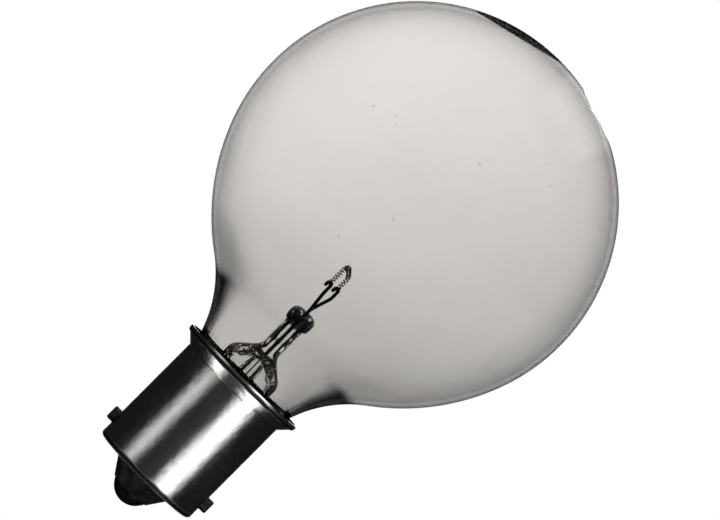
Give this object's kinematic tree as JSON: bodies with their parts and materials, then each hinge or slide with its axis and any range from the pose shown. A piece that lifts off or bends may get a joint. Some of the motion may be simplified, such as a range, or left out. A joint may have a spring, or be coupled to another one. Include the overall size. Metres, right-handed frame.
{
  "type": "vanity bulb",
  "caption": "Clear glass globe lamp with a coiled filament on a glass stem, in a bayonet cap with side pins and an end contact.",
  "frame": {"origin": "on the lamp's axis, level with the middle of the two bayonet pins", "axes": "+Z along the lamp from the cap to the globe, the bayonet pins point along -X and +X"},
  "size_m": [0.05, 0.05, 0.0771],
  "materials": {
    "clear_glass": "clear blown glass",
    "stem_glass": "clear drawn and pressed glass",
    "seal_wire": "oxidised copper-clad sealing wire",
    "nickel_wire": "drawn nickel wire",
    "copper_wire": "drawn copper wire",
    "tungsten": "coiled tungsten wire",
    "nickel_plate": "drawn and nickel plated",
    "black_glass": "black moulded glass",
    "contact_brass": "punched brass",
    "solder": "dull solder",
    "cement": "baked basing cement"
  },
  "bodies": {
    "root": {"glass_globe": "clear_glass", "glass_stem": "stem_glass", "exhaust_tube": "stem_glass", "seal_wire_near": "seal_wire", "seal_wire_far": "seal_wire", "inner_lead_near": "nickel_wire", "inner_lead_far": "nickel_wire", "contact_lead": "copper_wire", "shell_lead": "copper_wire", "filament": "tungsten", "cap_shell": "nickel_plate", "bayonet_pin_left": "nickel_plate", "bayonet_pin_right": "nickel_plate", "insulator": "black_glass", "contact_plate": "contact_brass", "contact_solder": "solder", "cement": "cement", "rim_solder": "solder"}
  },
  "joints": []
}
